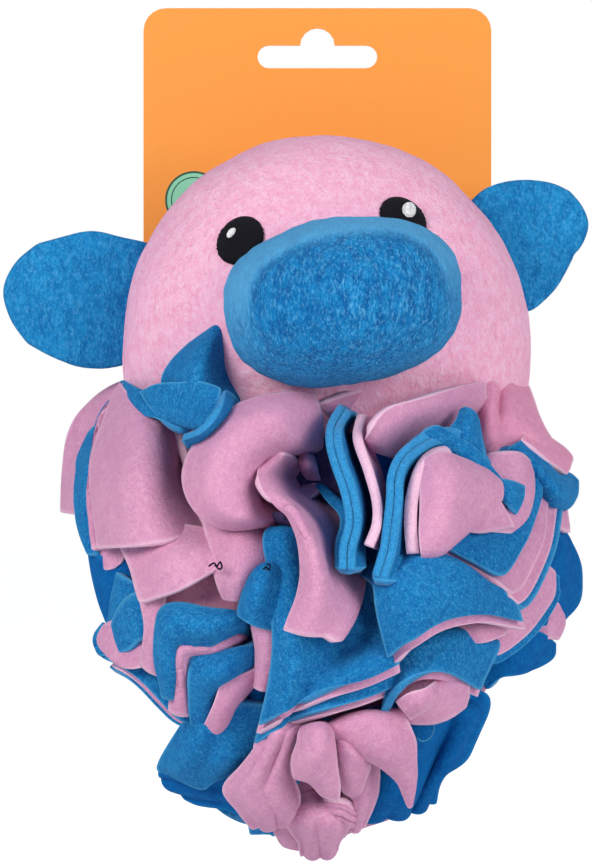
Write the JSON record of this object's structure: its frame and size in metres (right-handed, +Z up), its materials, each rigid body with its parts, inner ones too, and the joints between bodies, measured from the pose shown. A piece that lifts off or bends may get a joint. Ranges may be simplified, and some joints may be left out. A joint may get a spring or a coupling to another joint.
{
  "type": "plush dog toy on a hanging card",
  "caption": "Plush dog toy: a stuffed fleece head with round snout and floppy ears on a body of gathered pink and blue fleece ruffles, tied to a hanging card.",
  "frame": {"origin": "centre of the card's hang slot, in the middle of the card's thickness", "axes": "+Z up through the head and the hang slot, the face looks along -Y, +X is the viewer's right"},
  "size_m": [0.152, 0.1367, 0.2202],
  "materials": {
    "fleece_pink": "brushed fleece",
    "fleece_deep_pink": "brushed fleece",
    "fleece_blue": "brushed fleece",
    "wadding": "loose polyester fibre",
    "thread_black": "satin stitch",
    "thread_white": "satin stitch",
    "card_orange": "printed, satin",
    "tie_nylon": "translucent nylon",
    "squeaker_vinyl": "soft vinyl",
    "reed_white": "moulded"
  },
  "bodies": {
    "root": {"body_cover": "fleece_pink", "body_stuffing": "wadding", "card_tie_left": "tie_nylon", "card_tie_right": "tie_nylon", "eye_left": "thread_black", "eye_left_glint": "thread_white", "eye_right": "thread_black", "eye_right_glint": "thread_white", "head_back_panel": "fleece_pink", "head_front_panel": "fleece_pink", "head_stuffing_back": "wadding", "head_stuffing_front": "wadding", "header_card": "card_orange", "ruffle_back_blue": "fleece_blue", "ruffle_back_left_blue": "fleece_blue", "ruffle_back_left_pink": "fleece_deep_pink", "ruffle_back_left_pink_inner": "fleece_deep_pink", "ruffle_back_pink": "fleece_deep_pink", "ruffle_back_pink_inner": "fleece_deep_pink", "ruffle_back_right_blue": "fleece_blue", "ruffle_back_right_pink": "fleece_deep_pink", "ruffle_back_right_pink_inner": "fleece_deep_pink", "ruffle_bottom_blue": "fleece_blue", "ruffle_bottom_pink": "fleece_deep_pink", "ruffle_bottom_pink_inner": "fleece_deep_pink", "ruffle_front_blue": "fleece_blue", "ruffle_front_left_blue": "fleece_blue", "ruffle_front_left_pink": "fleece_deep_pink", "ruffle_front_left_pink_inner": "fleece_deep_pink", "ruffle_front_pink": "fleece_deep_pink", "ruffle_front_pink_inner": "fleece_deep_pink", "ruffle_front_right_blue": "fleece_blue", "ruffle_front_right_pink": "fleece_deep_pink", "ruffle_front_right_pink_inner": "fleece_deep_pink", "ruffle_lower_back_left_blue": "fleece_blue", "ruffle_lower_back_left_pink": "fleece_deep_pink", "ruffle_lower_back_right_blue": "fleece_blue", "ruffle_lower_back_right_pink": "fleece_deep_pink", "ruffle_lower_front_blue": "fleece_blue", "ruffle_lower_front_pink": "fleece_deep_pink", "ruffle_lower_left_blue": "fleece_blue", "ruffle_lower_left_pink": "fleece_deep_pink", "ruffle_lower_right_blue": "fleece_blue", "ruffle_lower_right_pink": "fleece_deep_pink", "snout_cover": "fleece_blue", "snout_stuffing": "wadding", "squeaker_bulb": "squeaker_vinyl", "squeaker_reed": "reed_white"},
    "ear_left": {"ear_left_back": "fleece_blue", "ear_left_front": "fleece_blue"},
    "ear_right": {"ear_right_back": "fleece_blue", "ear_right_front": "fleece_blue"}
  },
  "joints": [
    {"name": "ear_left_fold", "type": "hinge", "parent": "root", "child": "ear_left", "pos_m": [-0.05074, -0.04975, -0.06574], "axis": [0.209, 0.0165, 0.9778], "range_deg": [-60, 75], "stiffness_Nm_per_rad": 0.02},
    {"name": "ear_right_fold", "type": "hinge", "parent": "root", "child": "ear_right", "pos_m": [0.04958, -0.04186, -0.05231], "axis": [0.4573, 0.036, -0.8886], "range_deg": [-35, 100], "stiffness_Nm_per_rad": 0.02}
  ]
}
